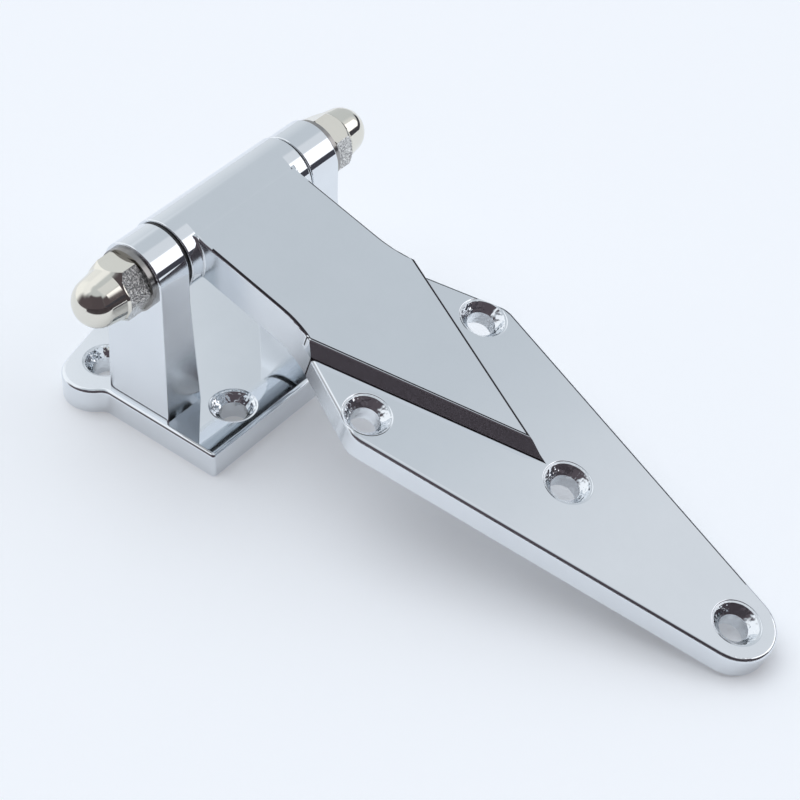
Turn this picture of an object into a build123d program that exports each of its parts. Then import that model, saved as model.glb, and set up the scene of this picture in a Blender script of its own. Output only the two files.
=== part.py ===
from build123d import *
import os
from math import acos, asin, atan2, cos, degrees, hypot, radians, sin, sqrt, tan

# Cold room door hinge: a bracket with two ears, and a strap that swings on a pin between them.
# Millimetres. X runs along the pin, +Y towards the bracket's two screw lobes, -Y along the strap.
# The origin is on the bracket's mounting face, under the middle of the pin.
# The strap is modelled level, with the pin axis on X, and then tilted until its tip is down.

# Bracket
axis_height = 57.0            # mounting face to pin axis
plate_thickness = 8.5
plate_half_width = 42.5
plate_front = 32.1            # pin axis to front edge
plate_corner_radius = 1.2
plate_arris = 1.3             # rounding of the plate's top edge
lobe_radius = 10.4            # each rounded back corner
lobe_overhang = 4.9           # a lobe stands out this far past the plate's side
lobe_y = 20.8                 # pin axis to the middle of a lobe
lobe_blend = 4.0              # hollow corner where a lobe leaves the straight side
back_slope = 14.0             # each half of the back edge leaves its lobe at this angle
back_radius = 30.0            # rounded middle of the back edge
ear_gap = 54.6                # between the ears' inner faces
ear_thickness = 12.0
ear_drop = 0.5                # an ear's round is this much smaller than the strap's barrel
ear_front_lean = 1.5          # each face of an ear leans out this far at the foot
ear_back_lean = 0.4
ear_side_lean = 1.3
ear_arris = 0.5
front_hole_x, front_hole_y = 22.3, -21.9
lobe_hole_inset = 4.8         # middle of a lobe to its hole, along the pin
bracket_skin = 3.6            # thickness left over the hollow underside
bracket_wall = 4.5
bracket_rib = 3.0
bracket_boss_radius = 9.0

# Screw holes, for 8 mm countersunk screws
screw_hole_radius = 4.3
screw_rim_radius = 7.1

# Pin, washers and nuts
pin_radius = 6.0
pin_thread_radius = 5.0
pin_end_chamfer = 1.0
pin_hole_clearance = 0.05
pin_shoulder_inset = 0.2      # the thick part stops this far inside the ears' outer faces
thread_clearance = 0.05
thread_engagement = 12.0
nut_washer_radius = 10.0
nut_washer_bore = 5.25
nut_washer_thickness = 2.0
nut_flats = 17.0
nut_hexagon_length = 8.2
nut_front_chamfer = 2.4       # along the pin, from the dome to a hexagon corner
nut_back_chamfer = 0.8
nut_bore_depth = 13.0
dome_base_radius = 8.2
dome_nose_radius = 7.6
dome_length = 11.3
left_nut_turn = 4.5           # angle of a hexagon corner above the -Y direction
right_nut_turn = 35.5

# Strap
barrel_radius = 11.5
barrel_arris = 0.4
thrust_washer_drop = 0.9      # a thrust washer's radius is this much less than the barrel's
thrust_washer_thickness = 0.8
thrust_clearance = 0.1        # thrust washer to the strap's barrel
strap_face = 2.0              # pin axis down to the strap's mounting face
strap_thickness = 7.7         # lower plate
step_height = 4.7             # lower plate to raised plate
neck_half_width = 21.6
neck_blend = 0.8              # hollow corner where the neck meets the barrel
roof_radius = 30.0            # hollow curve from the raised plate's top up to the barrel
flare_s, flare_radius = 47.2, 40.0
wing_x, wing_s = 35.8, 80.2   # widest point
wing_radius = 7.0
tip_s, tip_radius = 190.2, 12.0
arrow_foot_s = 121.2          # point of the arrow-shaped step, at its foot
arrow_half_angle = 20.3
arrow_lean = 25.0             # the step's faces lean back from upright
arrow_point_radius = 2.0
strap_arris = 1.3
raised_arris = 0.8
wing_hole_x, wing_hole_s = 26.85, 77.6
middle_hole_s = 130.1
strap_skin = 3.2              # thickness left over the hollow underside
raised_skin = 4.0
strap_wall = 3.6
strap_rib = 3.0
strap_boss_radius = 8.0
strap_hollow_start = 17.0
hollow_corner = 1.5           # rounded corners of the pockets in both undersides
cross_rib_spacing = 26.0

# Bushes in the strap's barrel
bush_outer_radius = 7.5
bush_length = 14.0
bush_running_clearance = 0.04
barrel_relief = 0.6           # between the bushes the bore is this much wider than the pin

# Worked out from the sizes above
ear_radius = barrel_radius - ear_drop
ear_inner = ear_gap / 2
ear_outer = ear_inner + ear_thickness
barrel_half = ear_inner - thrust_washer_thickness - thrust_clearance
nut_seat = ear_outer + nut_washer_thickness
strap_top = strap_thickness - strap_face
raised_top = strap_top + step_height
tip_end = tip_s + tip_radius
rest_tilt = degrees(asin(axis_height / hypot(tip_end, strap_face)) - atan2(strap_face, tip_end))
lobe_x = plate_half_width + lobe_overhang - lobe_radius
lobe_hole_x = lobe_x - lobe_hole_inset
bracket_holes = [(side * x, y) for side in (-1, 1)
                 for x, y in ((front_hole_x, front_hole_y), (lobe_hole_x, lobe_y))]
strap_holes = [(-wing_hole_x, wing_hole_s), (wing_hole_x, wing_hole_s),
               (0, middle_hole_s), (0, tip_s)]


def disc(x, y, radius):
    return Pos(x, y) * Circle(radius)


def touch_point(x, y, centre_y, radius):
    """Where a line from (x, y), right of a round centred at x = 0, touches the round's right side."""
    turn = atan2(y - centre_y, x) + acos(radius / hypot(x, y - centre_y))
    return radius * cos(turn), centre_y + radius * sin(turn)


def mirrored_face(points):
    """A flat face through points (x, distance from the pin) on the right and their mirror images."""
    left = [(-x, -s) for x, s in points]
    right = [(x, -s) for x, s in reversed(points)]
    return make_face(Polyline(left + right, close=True))


def turned(profile):
    """A profile of (place along the pin, radius) turned about the pin axis."""
    return revolve(make_face(Polyline([(x, 0, r) for x, r in profile], close=True)), Axis.X, 360)


def tube(start, end, outer, inner):
    return turned([(start, inner), (end, inner), (end, outer), (start, outer)])


def screw_hole(x, y, top, bottom):
    """A through hole with a 90 degree countersink that opens upwards."""
    shank = Cylinder(screw_hole_radius, top - bottom + 2, align=(Align.CENTER, Align.CENTER, Align.MIN))
    sink = screw_rim_radius - screw_hole_radius
    mouth = Cone(screw_hole_radius, screw_rim_radius + sink, 2 * sink,
                 align=(Align.CENTER, Align.CENTER, Align.MIN))
    return Pos(x, y, bottom - 1) * shank + Pos(x, y, top - sink) * mouth


def pockets(plan, height):
    """The volume of the pockets drawn in a plan, with rounded corners."""
    rounded = [offset(offset(face, -hollow_corner), hollow_corner) for face in plan.faces()]
    return Part() + [extrude(face, height) for face in rounded]


def bracket_outline():
    """The plate from above: a block with a bowed back between two rounded corners."""
    block = Pos(0, (lobe_y - plate_front) / 2) * Rectangle(2 * plate_half_width, lobe_y + plate_front)
    block = fillet(block.vertices().group_by(Axis.Y)[0], plate_corner_radius)
    slope = radians(back_slope)
    end_x, end_y = lobe_x + lobe_radius * sin(slope), lobe_y + lobe_radius * cos(slope)
    back = make_face(Polyline([(-lobe_x, lobe_y), (-end_x, end_y), (0, end_y + end_x * tan(slope)),
                               (end_x, end_y), (lobe_x, lobe_y)], close=True))
    back = fillet(back.vertices().sort_by(Axis.Y)[-1], back_radius)
    outline = block + back + disc(lobe_x, lobe_y, lobe_radius) + disc(-lobe_x, lobe_y, lobe_radius)
    meeting_y = lobe_y - sqrt(lobe_radius**2 - (plate_half_width - lobe_x) ** 2)
    hollow_corners = [v for v in outline.vertices() if abs(v.Y - meeting_y) < 0.01]
    return fillet(hollow_corners, lobe_blend)


def bracket_hollow(outline):
    """The open underside between the ears' feet: two pockets beside a rib, with bosses left for screws."""
    room = offset(outline, -bracket_wall)
    room &= Rectangle(2 * (ear_inner - bracket_wall), 4 * plate_half_width)
    room -= Rectangle(bracket_rib, 4 * plate_half_width)
    for x, y in bracket_holes:
        room -= disc(x, y, bracket_boss_radius)
    return pockets(room, plate_thickness - bracket_skin)


def ear_view(near, far, near_lean, far_lean):
    """An ear's leg from one side: upright next to the pin, then leaning out on both sides to its foot."""
    foot, seat = plate_thickness - 1, axis_height - ear_radius
    return make_face(Polyline([(near - near_lean, foot), (far + far_lean, foot), (far, seat),
                               (far, axis_height), (near, axis_height), (near, seat)], close=True))


def make_ear():
    """The right ear: a round head on a leg whose four faces lean out a little towards its foot."""
    side_view = ear_view(-ear_radius, ear_radius, ear_front_lean, ear_back_lean)
    front_view = ear_view(ear_inner, ear_outer, ear_side_lean, ear_side_lean)
    leg = extrude(Plane.YZ * side_view, 2 * ear_outer)
    leg &= extrude(Plane.XZ * front_view, 2 * ear_outer, both=True)
    uprights = [edge for edge in leg.edges() if edge.bounding_box().size.Z > ear_radius / 2]
    leg = fillet(uprights, ear_arris)
    head = Rot(0, 90, 0) * Cylinder(ear_radius, ear_thickness)
    head = fillet(head.edges().filter_by(GeomType.CIRCLE), ear_arris)
    head &= Pos(0, 0, ear_radius) * Box(2 * ear_thickness, 4 * ear_radius, 2 * ear_radius)
    return leg + Pos(ear_inner + ear_thickness / 2, 0, axis_height) * head


def make_bracket():
    outline = bracket_outline()
    plate = extrude(outline, plate_thickness)
    plate = fillet(plate.faces().sort_by(Axis.Z)[-1].edges(), plate_arris)
    bracket = plate - bracket_hollow(outline)
    ear = make_ear()
    bracket += ear
    bracket += mirror(ear, Plane.YZ)
    bore = Cylinder(pin_radius + pin_hole_clearance, 4 * ear_outer)
    bracket -= Pos(0, 0, axis_height) * Rot(0, 90, 0) * bore
    for x, y in bracket_holes:
        bracket -= screw_hole(x, y, plate_thickness, 0)
    return bracket


def at_rest(piece):
    """Turns a piece of the strap from level to its resting pose."""
    return Pos(0, 0, axis_height) * Rot(rest_tilt, 0, 0) * piece


def strap_outline():
    """The strap from above: a neck that flares to two wings, then tapers to a round tip."""
    taper_end = touch_point(wing_x, wing_s, tip_s, tip_radius)
    outline = mirrored_face([(neck_half_width, 0), (neck_half_width, flare_s), (wing_x, wing_s), taper_end])
    outline += disc(0, -tip_s, tip_radius)
    flares = [v for v in outline.vertices() if abs(v.Y + flare_s) < 0.01]
    outline = fillet(flares, flare_radius)
    corners = [v for v in outline.vertices() if abs(v.Y + wing_s) < 0.01]
    return fillet(corners, wing_radius)


def arrow(level, inset=0):
    """The raised plate's arrow shape at a level above the mounting face, or smaller all round by an inset."""
    growth = (strap_thickness - level) * tan(radians(arrow_lean)) - inset
    point_s = arrow_foot_s + growth / sin(radians(arrow_half_angle))
    spread = point_s * tan(radians(arrow_half_angle))
    shape = make_face(Polyline([(-spread, 0), (0, -point_s), (spread, 0)], close=True))
    return fillet(shape.vertices().sort_by(Axis.Y)[0], arrow_point_radius)


def raised_roof():
    """The space below the raised plate's top, which rises in a hollow curve to meet the barrel."""
    centre_height = raised_top + roof_radius
    centre_s = sqrt((barrel_radius + roof_radius) ** 2 - centre_height**2)
    share = barrel_radius / (barrel_radius + roof_radius)
    meeting = (-centre_s * share, centre_height * share)
    side = Polyline([(-centre_s, raised_top), (-tip_end, raised_top), (-tip_end, -strap_face),
                     (0, -strap_face), (0, barrel_radius / 2), meeting])
    face = make_face(side + RadiusArc(meeting, (-centre_s, raised_top), roof_radius))
    return Pos(-2 * wing_x, 0, 0) * extrude(Plane.YZ * face, 4 * wing_x)


def raised_block(outline):
    """The thick part of the strap next to the barrel, whose step leans back from an arrow-shaped foot."""
    height = barrel_radius + strap_face
    block = extrude(outline, height) & extrude(arrow(0), height, taper=arrow_lean)
    block = Pos(0, 0, -strap_face) * block & raised_roof()
    rims = [edge for face in block.faces() if face.normal_at().Z > 0.9 for edge in face.edges()]
    rims = [edge for edge in rims if edge.bounding_box().size.Y > raised_arris]
    return fillet(rims, raised_arris)


def neck_blends():
    """The hollow rounds where the neck's side walls meet the barrel, which is square to them."""
    reach = barrel_radius + neck_blend
    profile = Pos(neck_half_width, barrel_radius) * Rectangle(2 * neck_blend, 2 * neck_blend)
    profile -= disc(neck_half_width + neck_blend, reach, neck_blend)
    ring = revolve(Plane.XZ * profile, Axis.X, 360)
    height = strap_thickness + step_height
    front = Pos(0, -reach / 2, height / 2 - strap_face) * Box(4 * wing_x, reach, height)
    blend = ring & front
    return blend + mirror(blend, Plane.YZ)


def strap_hollows(outline):
    """The open underside: deep below the raised plate, shallow beyond, ribbed, a boss for each screw."""
    room = offset(outline, -strap_wall)
    start, end = strap_hollow_start, tip_s - strap_boss_radius
    room &= Pos(0, -(start + end) / 2) * Rectangle(4 * wing_x, end - start)
    room -= Rectangle(strap_rib, 4 * tip_end)
    least_pocket = strap_rib / 2 + 3 * hollow_corner
    rib_s = wing_hole_s % cross_rib_spacing
    while rib_s < end - least_pocket:
        if rib_s > start + least_pocket:
            room -= Pos(0, -rib_s) * Rectangle(4 * wing_x, strap_rib)
        rib_s += cross_rib_spacing
    for x, s in strap_holes:
        room -= disc(x, -s, strap_boss_radius)
    shallow = pockets(room, strap_thickness - strap_skin)
    depth = strap_thickness + step_height - raised_skin
    deep = pockets(room, depth) & extrude(arrow(0, raised_skin), depth, taper=arrow_lean)
    return Pos(0, 0, -strap_face) * (shallow + deep)


def make_strap():
    outline = strap_outline()
    plate = Pos(0, 0, -strap_face) * extrude(outline, strap_thickness)
    rim = [edge for edge in plate.faces().sort_by(Axis.Z)[-1].edges() if edge.center().Y < -0.01]
    plate = fillet(rim, strap_arris)
    barrel = Rot(0, 90, 0) * Cylinder(barrel_radius, 2 * barrel_half)
    barrel = fillet(barrel.edges().filter_by(GeomType.CIRCLE), barrel_arris)
    strap = plate + raised_block(outline) + neck_blends() + barrel
    strap -= strap_hollows(outline)
    seat = Rot(0, 90, 0) * Cylinder(bush_outer_radius, bush_length)
    strap -= Rot(0, 90, 0) * Cylinder(pin_radius + barrel_relief, 3 * barrel_half)
    strap -= Pos(barrel_half - bush_length / 2, 0, 0) * seat
    strap -= Pos(bush_length / 2 - barrel_half, 0, 0) * seat
    for x, s in strap_holes:
        strap -= screw_hole(x, -s, strap_top, -strap_face)
    return at_rest(strap)


def make_bush():
    inner = pin_radius + bush_running_clearance
    return at_rest(tube(barrel_half - bush_length, barrel_half, bush_outer_radius, inner))


def make_pin():
    """A plain pin with a shoulder and a thinner threaded end for each nut."""
    shoulder = ear_outer - pin_shoulder_inset
    end = nut_seat + thread_engagement
    half = turned([(0, 0), (0, pin_radius), (shoulder, pin_radius), (shoulder, pin_thread_radius),
                   (end - pin_end_chamfer, pin_thread_radius), (end, pin_thread_radius - pin_end_chamfer),
                   (end, 0)])
    return Pos(0, 0, axis_height) * (half + mirror(half, Plane.YZ))


def make_nut(turn):
    """A domed cap nut: a hexagon whose corners are turned down at both ends, a dome and a blind hole."""
    corner_radius = nut_flats / 2 / cos(radians(30))
    hexagon_end = nut_seat + nut_hexagon_length
    prism = RegularPolygon(corner_radius, 6, rotation=-turn)
    prism = Pos(nut_seat, 0, 0) * extrude(Plane.YZ * prism, nut_hexagon_length)
    envelope = turned([(nut_seat, 0), (nut_seat, nut_flats / 2), (nut_seat + nut_back_chamfer, corner_radius),
                       (hexagon_end - nut_front_chamfer, corner_radius), (hexagon_end, dome_base_radius),
                       (hexagon_end, 0)])
    nose_x = hexagon_end + dome_length - dome_nose_radius
    flank_radius, flank_x = touch_point(dome_base_radius, hexagon_end, nose_x, dome_nose_radius)
    flank = make_face(Polyline([(hexagon_end, 0), (flank_x, 0), (flank_x, flank_radius),
                                (hexagon_end, dome_base_radius)], close=True))
    upper_half = Pos(nose_x, dome_length) * Rectangle(2 * dome_length, 2 * dome_length)
    nose = disc(nose_x, 0, dome_nose_radius) & upper_half
    dome = revolve(Plane.XZ * (flank + nose), Axis.X, 360)
    bore_radius = pin_thread_radius + thread_clearance
    bore_end = nut_seat + nut_bore_depth
    bore = turned([(0, 0), (0, bore_radius), (bore_end, bore_radius), (bore_end + bore_radius / 2, 0)])
    nut = (prism & envelope) + dome - bore
    return Pos(0, 0, axis_height) * nut


parts = {"base_bracket": make_bracket(), "door_strap": make_strap(), "hinge_pin": make_pin()}
right_side = {
    "cap_nut": make_nut(right_nut_turn),
    "nut_washer": Pos(0, 0, axis_height) * tube(ear_outer, nut_seat, nut_washer_radius, nut_washer_bore),
    "thrust_washer": Pos(0, 0, axis_height) * tube(ear_inner - thrust_washer_thickness, ear_inner,
                                                   barrel_radius - thrust_washer_drop,
                                                   pin_radius + pin_hole_clearance),
    "barrel_bush": make_bush(),
}
for name, piece in right_side.items():
    parts[name + "_right"] = piece
    parts[name + "_left"] = mirror(piece, Plane.YZ)
parts["cap_nut_left"] = mirror(make_nut(left_nut_turn), Plane.YZ)

os.makedirs("parts", exist_ok=True)
for name, piece in parts.items():
    export_step(piece, f"parts/{name}.step")
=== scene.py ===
import bpy
from math import radians, sin, cos
from mathutils import Matrix, Vector

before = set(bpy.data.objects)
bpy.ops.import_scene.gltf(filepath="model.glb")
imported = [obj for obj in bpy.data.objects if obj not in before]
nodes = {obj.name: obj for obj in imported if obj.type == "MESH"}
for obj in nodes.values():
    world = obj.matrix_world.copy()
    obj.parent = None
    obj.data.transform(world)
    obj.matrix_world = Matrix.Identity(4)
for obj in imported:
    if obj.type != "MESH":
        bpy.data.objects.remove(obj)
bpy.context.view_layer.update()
bpy.ops.object.select_all(action="DESELECT")

# Bracket: one zinc alloy die casting, polished and then plated with bright chrome. Polishing leaves the
# broad faces a little wavy, and handling leaves a faint haze on them.
# The helpers here add their nodes to `tree` and read the piece's own coordinates from `spot`.


def put(socket, value):
    """Links a socket to another one, or sets it to a plain value."""
    if isinstance(value, bpy.types.NodeSocket):
        tree.links.new(value, socket)
    else:
        socket.default_value = value


def calc(operation, *values):
    """One step of arithmetic on sockets and numbers."""
    step = tree.nodes.new("ShaderNodeMath")
    step.operation = operation
    for socket, value in zip(step.inputs, values):
        put(socket, value)
    return step.outputs[0]


def spread(value, start, end, low=0.0, high=1.0, kind="LINEAR"):
    """Goes from low to high while the value goes from start to end, and stays level outside them."""
    step = tree.nodes.new("ShaderNodeMapRange")
    step.interpolation_type = kind
    put(step.inputs["Value"], value)
    put(step.inputs["From Min"], start)
    put(step.inputs["From Max"], end)
    put(step.inputs["To Min"], low)
    put(step.inputs["To Max"], high)
    return step.outputs["Result"]


def ramp(value, *stops):
    """A grey or colour that changes evenly from each stop to the next."""
    scale = tree.nodes.new("ShaderNodeValToRGB")
    points = scale.color_ramp.elements
    for number, (at, color) in enumerate(stops):
        point = points[number] if number < 2 else points.new(at)
        point.position = at
        point.color = (*color, 1)
    put(scale.inputs["Fac"], value)
    return scale.outputs["Color"]


def blend(kind, mask, under, over):
    """One colour (RGBA) or normal (VECTOR) over another, where the mask is 1."""
    mix = tree.nodes.new("ShaderNodeMix")
    mix.data_type = kind
    put(mix.inputs["Factor"], mask)
    put(mix.inputs["A"], under)
    put(mix.inputs["B"], over)
    return mix.outputs["Result"]


def noise(scale, detail, roughness=0.5):
    """Clouds all through the piece. Scale is about how many there are in a metre."""
    clouds = tree.nodes.new("ShaderNodeTexNoise")
    put(clouds.inputs["Vector"], spot.outputs["Object"])
    put(clouds.inputs["Scale"], scale)
    put(clouds.inputs["Detail"], detail)
    put(clouds.inputs["Roughness"], roughness)
    return clouds.outputs["Fac"]


def bumped(height, depth, under=None):
    """The normal that a height gives, over the normal that is under it."""
    bump = tree.nodes.new("ShaderNodeBump")
    put(bump.inputs["Strength"], 1.0)
    put(bump.inputs["Distance"], depth)
    put(bump.inputs["Height"], height)
    if under is not None:
        put(bump.inputs["Normal"], under)
    return bump.outputs["Normal"]


def along(direction, start=0.0):
    """How far a point of the piece lies along one direction, plus a start value."""
    part = tree.nodes.new("ShaderNodeVectorMath")
    part.operation = "DOT_PRODUCT"
    part.inputs[1].default_value = direction
    put(part.inputs[0], spot.outputs["Object"])
    return calc("ADD", part.outputs["Value"], start)


skin = bpy.data.node_groups.new("plated skin", "ShaderNodeTree")
for title, kind in (("Wave Size", "Float"), ("Polish", "Float"), ("Haze", "Float"),
                    ("Metal", "Color"), ("Dull Metal", "Color")):
    skin.interface.new_socket(title, in_out="INPUT", socket_type="NodeSocket" + kind)
for title, kind in (("Color", "Color"), ("Roughness", "Float"), ("Height", "Float")):
    skin.interface.new_socket(title, in_out="OUTPUT", socket_type="NodeSocket" + kind)
tree = skin
spot = tree.nodes.new("ShaderNodeTexCoord")
given = tree.nodes.new("NodeGroupInput").outputs
result = tree.nodes.new("NodeGroupOutput").inputs
handled = noise(scale=70.0, detail=6.0, roughness=0.65)
put(result["Color"], blend("RGBA", handled, given["Metal"], given["Dull Metal"]))
put(result["Roughness"], spread(handled, 0.35, 0.75, given["Polish"], given["Haze"]))
put(result["Height"], noise(scale=given["Wave Size"], detail=1.0))

# The countersinks are cut after polishing, so under the plating their cones are a little uneven, and a thin
# rounded rim runs round each of them.
cone_edge, cone_inside, unevenness = 0.0071, 0.0066, 0.00085
rim_outside, rim_width, rim_fall = 0.0075, 0.0004, -1200.0
countersink = bpy.data.node_groups.new("countersink", "ShaderNodeTree")
countersink.interface.new_socket("Reach", in_out="INPUT", socket_type="NodeSocketFloat")
countersink.interface.new_socket("Height", in_out="OUTPUT", socket_type="NodeSocketFloat")
tree = countersink
spot = tree.nodes.new("ShaderNodeTexCoord")
reach = tree.nodes.new("NodeGroupInput").outputs["Reach"]
cone = spread(reach, cone_edge, cone_inside, 0.0, unevenness, "SMOOTHSTEP")
uneven = calc("MULTIPLY", noise(scale=280.0, detail=2.0), cone)
into_rim = calc("MINIMUM", calc("MAXIMUM", calc("SUBTRACT", rim_outside, reach), 0.0), rim_width)
rim = calc("MULTIPLY", calc("POWER", into_rim, 2.0), rim_fall)
put(tree.nodes.new("NodeGroupOutput").inputs["Height"], calc("ADD", uneven, rim))


def plated(title, wave_size, wave_depth, polish, haze, metal, dull_metal):
    """A metal under a thin plating, with the skin group for its tone, gloss and waves."""
    finish = bpy.data.materials.new(title)
    finish.use_nodes = True
    links = finish.node_tree.links
    shader = finish.node_tree.nodes["Principled BSDF"]
    shader.inputs["Metallic"].default_value = 1.0
    plating = finish.node_tree.nodes.new("ShaderNodeGroup")
    plating.name = "plating"
    plating.node_tree = skin
    plating.inputs["Wave Size"].default_value = wave_size
    plating.inputs["Polish"].default_value = polish
    plating.inputs["Haze"].default_value = haze
    plating.inputs["Metal"].default_value = (*metal, 1)
    plating.inputs["Dull Metal"].default_value = (*dull_metal, 1)
    waves = finish.node_tree.nodes.new("ShaderNodeBump")
    waves.name = "waves"
    waves.inputs["Strength"].default_value = 1.0
    waves.inputs["Distance"].default_value = wave_depth
    links.new(plating.outputs["Color"], shader.inputs["Base Color"])
    links.new(plating.outputs["Roughness"], shader.inputs["Roughness"])
    links.new(plating.outputs["Height"], waves.inputs["Height"])
    links.new(waves.outputs["Normal"], shader.inputs["Normal"])
    return finish


def screw_holes(places, across, length, under):
    """The normal of a casting's countersinks, over the normal that is under them."""
    nearest = None
    for x, y in places:
        side = calc("POWER", calc("ABSOLUTE", calc("SUBTRACT", across, x)), 2.0)
        front = calc("POWER", calc("ABSOLUTE", calc("SUBTRACT", length, y)), 2.0)
        reach = calc("SQRT", calc("ADD", side, front))
        nearest = reach if nearest is None else calc("MINIMUM", nearest, reach)
    holes = tree.nodes.new("ShaderNodeGroup")
    holes.node_tree = countersink
    put(holes.inputs["Reach"], nearest)
    return bumped(holes.outputs["Height"], 1.0, under)


chrome = plated("bracket chrome", wave_size=60.0, wave_depth=0.00004, polish=0.03, haze=0.07,
                metal=(0.81, 0.84, 0.87), dull_metal=(0.75, 0.78, 0.81))
nodes["base_bracket"].material_slots[0].material = chrome
tree = chrome.node_tree
spot = tree.nodes.new("ShaderNodeTexCoord")
shader = tree.nodes["Principled BSDF"]
across = calc("ABSOLUTE", along((1, 0, 0)))
put(shader.inputs["Normal"], screw_holes([(0.0223, -0.0219), (0.0322, 0.0208)], across,
                                         along((0, 1, 0)), tree.nodes["waves"].outputs["Normal"]))

# The polishing wheel doesn't reach well between the plate and the barrel rounds, so the ears' upright
# faces stay satin there.
black, white = (0, 0, 0), (1, 1, 1)
ear_height = 0.06
unpolished = 0.2
level = spread(along((0, 0, 1)), 0.0, ear_height)
band = ramp(level, (0.16, black), (0.24, white), (0.66, white), (0.80, black))
plating = tree.nodes["plating"].outputs
put(shader.inputs["Roughness"], calc("MULTIPLY_ADD", band, unpolished, plating["Roughness"]))

# Strap: the long die casting that carries the door. Its top is polished flatter than the bracket and has
# the same bright chrome. At rest it lies tilted, with its tip on the table.
strap_chrome = plated("strap chrome", wave_size=30.0, wave_depth=0.00002, polish=0.03, haze=0.06,
                      metal=(0.81, 0.84, 0.87), dull_metal=(0.76, 0.79, 0.82))
nodes["door_strap"].material_slots[0].material = strap_chrome
pin_height = 0.057
tilt = radians(15.806)
tree = strap_chrome.node_tree
spot = tree.nodes.new("ShaderNodeTexCoord")
shader = tree.nodes["Principled BSDF"]
length = along((0, -cos(tilt), -sin(tilt)), pin_height * sin(tilt))
height = along((0, -sin(tilt), cos(tilt)), -pin_height * cos(tilt))
across = calc("ABSOLUTE", along((1, 0, 0)))


def all_of(*masks):
    """1 where every mask is 1."""
    product = masks[0]
    for mask in masks[1:]:
        product = calc("MULTIPLY", product, mask)
    return product


def between(value, low, high):
    """1 where a value is between two limits."""
    return all_of(calc("GREATER_THAN", value, low), calc("LESS_THAN", value, high))


# The raised plate runs up to the barrel's top in one long easy curve, and the polish hides where they meet.
run_up_length, run_up_rise, run_up_half_width = 0.04, 0.0011, 0.0208
raised_top, raised_edge = 0.010417, 0.0098
slope = calc("MULTIPLY_ADD", length, -1 / run_up_length, 1.0)
curve = calc("MULTIPLY_ADD", calc("POWER", slope, 2.0), run_up_rise, raised_top)
fill = calc("MAXIMUM", calc("SUBTRACT", curve, height), 0.0)
facets = tree.nodes.new("ShaderNodeNewGeometry").outputs["True Normal"]
zone = all_of(calc("LESS_THAN", across, run_up_half_width), calc("GREATER_THAN", height, raised_edge),
              between(length, 0.0, run_up_length))
eased = blend("VECTOR", zone, tree.nodes["waves"].outputs["Normal"], bumped(fill, 1.0, facets))
put(shader.inputs["Normal"],
    screw_holes([(0.02685, 0.0776), (0.0, 0.1301), (0.0, 0.1902)], across, length, eased))

# Painted dark lines along the arrow-shaped step stand in for the dark reflection of its rounded rim and the
# shade at its foot: under the rim of its wall on one side, along the rim, and along the foot.
arrow_point, arrow_angle = 0.1212, radians(20.3)
over_foot, step_start = 0.0065, 0.05
wall_band, rim_band, foot_band = (-0.0027, -0.00185), (-0.0029, -0.0026), (-0.00012, 0.0003)
from_foot = calc("ADD", calc("MULTIPLY", across, cos(arrow_angle)),
                 calc("MULTIPLY", calc("SUBTRACT", length, arrow_point), sin(arrow_angle)))
right_side = calc("GREATER_THAN", along((1, 0, 0)), 0.0)
raised = calc("GREATER_THAN", height, over_foot)
painted_wall_line = all_of(between(from_foot, *wall_band), right_side)
painted_rim_line = all_of(between(from_foot, *rim_band), raised)
painted_foot_line = between(from_foot, *foot_band)
painted_step_lines = all_of(calc("MAXIMUM", calc("MAXIMUM", painted_wall_line, painted_rim_line), painted_foot_line),
                   calc("GREATER_THAN", length, step_start))

# The same painted dark line, which stands in for the dark reflection in a rounded edge, follows the neck's
# rounded top edges, and those of the raised plate and of one side of the lower plate, nearly up to the tip.
# A rounded edge is known by how far its normal leans.
edge_upwards, edge_sideways = (0.94, 0.994), (0.08, 0.75)
plate_line_ends, neck_line_start, inside_rim = (0.045, 0.185), 0.012, -0.0033
facing = tree.nodes.new("ShaderNodeSeparateXYZ")
put(facing.inputs[0], spot.outputs["Normal"])
sideways = calc("ABSOLUTE", facing.outputs["X"])
upwards = tree.nodes.new("ShaderNodeVectorMath")
upwards.operation = "DOT_PRODUCT"
upwards.inputs[1].default_value = (0, -sin(tilt), cos(tilt))
put(upwards.inputs[0], spot.outputs["Normal"])
painted_plate_edge_line = all_of(between(upwards.outputs["Value"], *edge_upwards), between(length, *plate_line_ends),
                    calc("MAXIMUM", right_side, raised))
painted_neck_edge_line = all_of(between(sideways, *edge_sideways), calc("GREATER_THAN", length, neck_line_start),
                   calc("LESS_THAN", from_foot, inside_rim), calc("GREATER_THAN", height, raised_edge))
painted_dark_lines = calc("MAXIMUM", painted_step_lines, calc("MAXIMUM", painted_plate_edge_line, painted_neck_edge_line))
plating = tree.nodes["plating"].outputs
# Painted dark reflection and shade: these lines darken the strap's base colour to near black.
put(shader.inputs["Base Color"], blend("RGBA", painted_dark_lines, plating["Color"], (0.05, 0.045, 0.05, 1)))

# The narrow side walls are only tumbled, not polished on a wheel, so they are satin. The arrow-shaped
# step's wall isn't.
step_wall = all_of(calc("GREATER_THAN", height, 0.0055), calc("GREATER_THAN", from_foot, -0.0032))
side_walls = all_of(calc("GREATER_THAN", sideways, 0.3), calc("LESS_THAN", facing.outputs["Z"], 0.5),
                    calc("SUBTRACT", 1.0, step_wall))
put(shader.inputs["Roughness"], calc("MULTIPLY_ADD", side_walls, unpolished, plating["Roughness"]))

# Pin: ground steel rod, threaded at both ends. It passes through both ears and the strap's barrel.
steel = plated("pin steel", wave_size=900.0, wave_depth=0.00001, polish=0.18, haze=0.34,
               metal=(0.52, 0.52, 0.53), dull_metal=(0.42, 0.41, 0.41))
nodes["hinge_pin"].material_slots[0].material = steel

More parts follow.
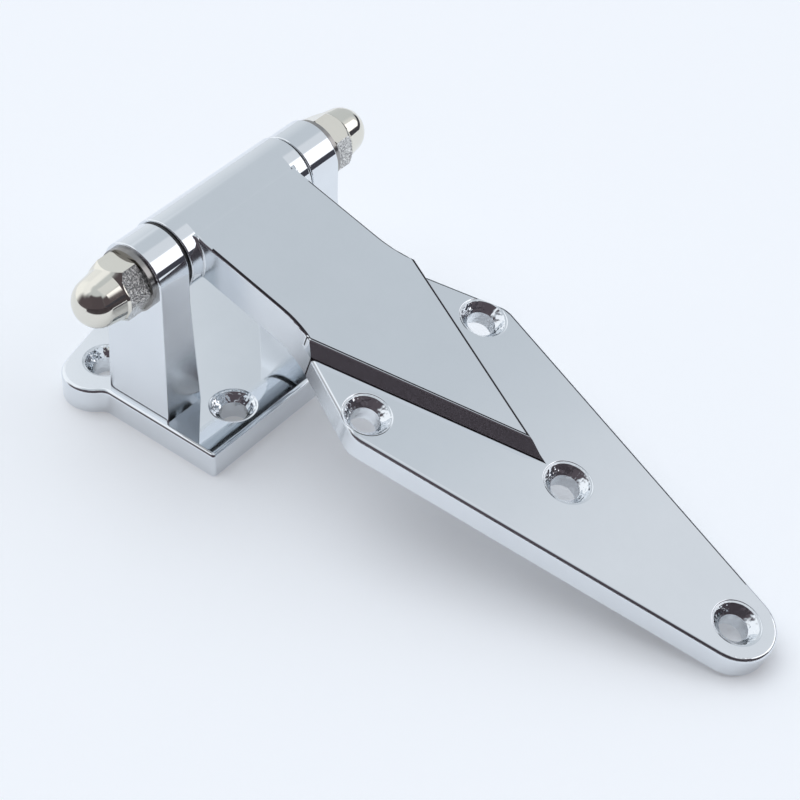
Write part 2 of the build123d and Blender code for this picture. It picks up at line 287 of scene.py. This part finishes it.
# Cap nuts: turned and polished steel with a bright, slightly warm nickel plating. Only the domes are
# polished. The hexagon's flats keep a fine grain under the plating.
nickel = plated("nut nickel", wave_size=200.0, wave_depth=0.00001, polish=0.05, haze=0.12,
                metal=(0.81, 0.785, 0.71), dull_metal=(0.74, 0.715, 0.64))
for side in ("left", "right"):
    nodes["cap_nut_" + side].material_slots[0].material = nickel
hexagon_end, dome_start = 0.0487, 0.0496  # from the middle of the pin
tree = nickel.node_tree
spot = tree.nodes.new("ShaderNodeTexCoord")
shader = tree.nodes["Principled BSDF"]
grain = noise(scale=1700.0, detail=4.0, roughness=0.7)
from_middle = calc("ABSOLUTE", along((1, 0, 0)))
facing = tree.nodes.new("ShaderNodeSeparateXYZ")
put(facing.inputs[0], spot.outputs["Normal"])
flats = all_of(calc("LESS_THAN", from_middle, hexagon_end), calc("LESS_THAN", facing.outputs["Z"], 0.75),
               calc("LESS_THAN", facing.outputs["Y"], -0.5))
grainy = blend("VECTOR", flats, tree.nodes["waves"].outputs["Normal"], bumped(grain, depth=0.0005))
specks = ramp(grain, (0.42, (0.27, 0.27, 0.27)), (0.60, (0.98, 0.97, 0.94)))
put(shader.inputs["Base Color"], blend("RGBA", flats, tree.nodes["plating"].outputs["Color"], specks))

# The domes are turned, with a round nose on a slightly tapered flank, and polished quite smooth.
nose_middle, flank_taper = 0.0532, 0.1414
turned = tree.nodes.new("ShaderNodeSeparateXYZ")
put(turned.inputs[0], spot.outputs["Object"])
up = calc("SUBTRACT", turned.outputs["Z"], pin_height)
radius = calc("SQRT", calc("ADD", calc("MULTIPLY", up, up),
                           calc("MULTIPLY", turned.outputs["Y"], turned.outputs["Y"])))
middle = calc("MINIMUM", calc("SUBTRACT", from_middle, calc("MULTIPLY", radius, flank_taper)), nose_middle)
outwards = calc("MULTIPLY", calc("SUBTRACT", from_middle, middle), calc("SIGN", turned.outputs["X"]))
smooth = tree.nodes.new("ShaderNodeCombineXYZ")
put(smooth.inputs["X"], outwards)
put(smooth.inputs["Y"], turned.outputs["Y"])
put(smooth.inputs["Z"], up)
unit = tree.nodes.new("ShaderNodeVectorMath")
unit.operation = "NORMALIZE"
put(unit.inputs[0], smooth.outputs["Vector"])
dome = calc("GREATER_THAN", from_middle, dome_start)
put(shader.inputs["Normal"], blend("VECTOR", dome, grainy, unit.outputs["Vector"]))

# Flat washers: stamped steel, darker than the plated parts.
dark_steel = plated("washer steel", wave_size=500.0, wave_depth=0.00001, polish=0.14, haze=0.3,
                    metal=(0.42, 0.41, 0.40), dull_metal=(0.22, 0.21, 0.20))
for side in ("left", "right"):
    nodes["nut_washer_" + side].material_slots[0].material = dark_steel

# Thrust rings and bushes: black nylon, moulded, with the fine even grain of the mould and a little wear
# where the castings rub on it.
nylon = bpy.data.materials.new("black nylon")
nylon.use_nodes = True
for side in ("left", "right"):
    nodes["thrust_washer_" + side].material_slots[0].material = nylon
    nodes["barrel_bush_" + side].material_slots[0].material = nylon
tree = nylon.node_tree
spot = tree.nodes.new("ShaderNodeTexCoord")
shader = tree.nodes["Principled BSDF"]
rubbed = noise(scale=260.0, detail=5.0)
put(shader.inputs["Base Color"],
    blend("RGBA", rubbed, (0.012, 0.012, 0.014, 1), (0.035, 0.035, 0.037, 1)))
put(shader.inputs["Roughness"], spread(rubbed, 0.0, 1.0, low=0.3, high=0.55))
put(shader.inputs["Normal"], bumped(noise(scale=2400.0, detail=3.0), depth=0.00003))

# Table: a pale smooth sheet that runs well past the hinge on all sides. It glows a little, as if it were lit
# from below, which keeps the shadows soft and light.
bpy.ops.mesh.primitive_plane_add(size=6)
table = bpy.context.active_object
table.name = "table"
paper = bpy.data.materials.new("pale table")
paper.use_nodes = True
shader = paper.node_tree.nodes["Principled BSDF"]
shader.inputs["Base Color"].default_value = (0.82, 0.86, 0.91, 1)
shader.inputs["Roughness"].default_value = 0.9
shader.inputs["Emission Color"].default_value = (1.0, 0.96, 0.92, 1)
shader.inputs["Emission Strength"].default_value = 0.14
table.data.materials.append(paper)

# Studio: everything that the chrome mirrors, set by its bearing from +X towards +Y and its height over the
# horizon. Soft boxes stand behind the hinge and in front of it, the room round the camera is dark, and the
# rest is pale.
world = bpy.data.worlds.new("studio")
bpy.context.scene.world = world
world.use_nodes = True
tree = world.node_tree
around = tree.nodes.new("ShaderNodeTexCoord").outputs["Generated"]
split = tree.nodes.new("ShaderNodeSeparateXYZ")
put(split.inputs[0], around)
above_horizon = calc("ARCSINE", split.outputs["Z"])


def between_angles(angle, low, high, edge):
    """1 between two angles in degrees, and 0 outside them, with soft edges."""
    opening = spread(angle, radians(low - edge), radians(low + edge), 0.0, 1.0, "SMOOTHSTEP")
    closing = spread(angle, radians(high - edge), radians(high + edge), 1.0, 0.0, "SMOOTHSTEP")
    return calc("MULTIPLY", opening, closing)


def add_panel(behind, middle, half_width, low, high, side_edge, edge, light):
    """Puts one panel of the studio in front of what is behind it. Its angles are in degrees."""
    turn = tree.nodes.new("ShaderNodeVectorRotate")
    turn.rotation_type = "Z_AXIS"
    put(turn.inputs["Angle"], radians(-middle))
    put(turn.inputs["Vector"], around)
    axes = tree.nodes.new("ShaderNodeSeparateXYZ")
    put(axes.inputs[0], turn.outputs["Vector"])
    bearing = calc("ARCTAN2", axes.outputs["Y"], axes.outputs["X"])
    shape = calc("MULTIPLY", between_angles(bearing, -half_width, half_width, side_edge),
                 between_angles(above_horizon, low, high, edge))
    return blend("RGBA", shape, behind, (*light, 1))


pale_wall = (0.79, 0.82, 0.86)
dark_room = (0.105, 0.088, 0.10)
white_box = (1.5, 1.5, 1.55)
room = (0.63, 0.675, 0.72, 1)
for panel in ((-45, 40.5, -20, 90, 6, 6, pale_wall),          # in front, on the right
              (97, 38, -20, 66, 25, 10, (1.10, 1.13, 1.16)),  # large soft boxes behind the hinge
              (96, 48, 36, 66, 8, 5, (1.05, 1.08, 1.12)),
              (-78, 28, -20, 48, 6, 6, dark_room),            # dark from the front round to the left
              (-146, 44, -20, 60, 6, 5, (0.095, 0.08, 0.092)),
              (165, 35, -20, 36, 14, 10, dark_room),
              (170, 20, 0, 50, 14, 12, dark_room),
              (-47, 57, -20, 13, 2, 1, (0.06, 0.06, 0.075)),  # low and darkest, in front
              (-57, 13, 35, 48, 3, 3, white_box),             # three small soft boxes in front
              (-52, 18, 30, 42, 2, 2, white_box),
              (-43, 27, 13, 37, 2, 1, white_box)):
    room = add_panel(room, *panel)
put(tree.nodes["Background"].inputs["Color"], room)

# Dark card: it stands on the table in front of the hinge, on the camera's side, and only the chrome mirrors
# it. The camera doesn't see it.
bpy.ops.mesh.primitive_plane_add(size=1, location=(0.215, 0.0, 0.04), rotation=(0, radians(90), 0))
card = bpy.context.active_object
card.name = "dark_card"
card.scale = (0.08, 0.6, 1)
bpy.ops.object.transform_apply(location=True, rotation=True, scale=True)
bpy.ops.transform.rotate(value=radians(126), orient_axis="Z", center_override=(0, 0, 0))
bpy.ops.object.transform_apply(location=True, rotation=True, scale=True)
felt = bpy.data.materials.new("dark felt")
felt.use_nodes = True
shader = felt.node_tree.nodes["Principled BSDF"]
shader.inputs["Base Color"].default_value = (0.055, 0.042, 0.048, 1)
shader.inputs["Roughness"].default_value = 0.9
card.data.materials.append(felt)
card.visible_camera = False
card.visible_diffuse = False
card.visible_shadow = False

# Fill lamp: a large soft lamp nearly straight above the hinge, which the chrome doesn't mirror. It lights
# the table.
bulb = bpy.data.lights.new("fill lamp", "SUN")
bulb.angle = radians(60)
bulb.energy = 0.85
lamp = bpy.data.objects.new("fill lamp", bulb)
bpy.context.scene.collection.objects.link(lamp)
lamp.matrix_world = Vector((-0.1, 0.3, 1.0)).to_track_quat("Z", "Y").to_matrix().to_4x4()
lamp.visible_glossy = False

# Camera: the photograph's viewpoint, fitted to the object's edges and holes.
azimuth, elevation, roll = radians(-53.499), radians(42.924), radians(2.729)
distance = 0.61507
aim = Vector((-0.006650, -0.072176, 0.030))
outward = Vector((sin(azimuth) * cos(elevation), -cos(azimuth) * cos(elevation), sin(elevation)))
horizontal = Vector((cos(azimuth), sin(azimuth), 0))
upward = outward.cross(horizontal)
right = horizontal * cos(roll) + upward * sin(roll)
top = upward * cos(roll) - horizontal * sin(roll)
lens = bpy.data.cameras.new("camera")
lens.sensor_width = 36
lens.lens = 96.68
lens.clip_start = 0.01
camera = bpy.data.objects.new("camera", lens)
bpy.context.scene.collection.objects.link(camera)
bearings = Matrix((right, top, outward)).transposed().to_4x4()
camera.matrix_world = Matrix.Translation(aim + outward * distance) @ bearings
bpy.context.scene.camera = camera
bpy.context.scene.view_settings.view_transform = "Standard"
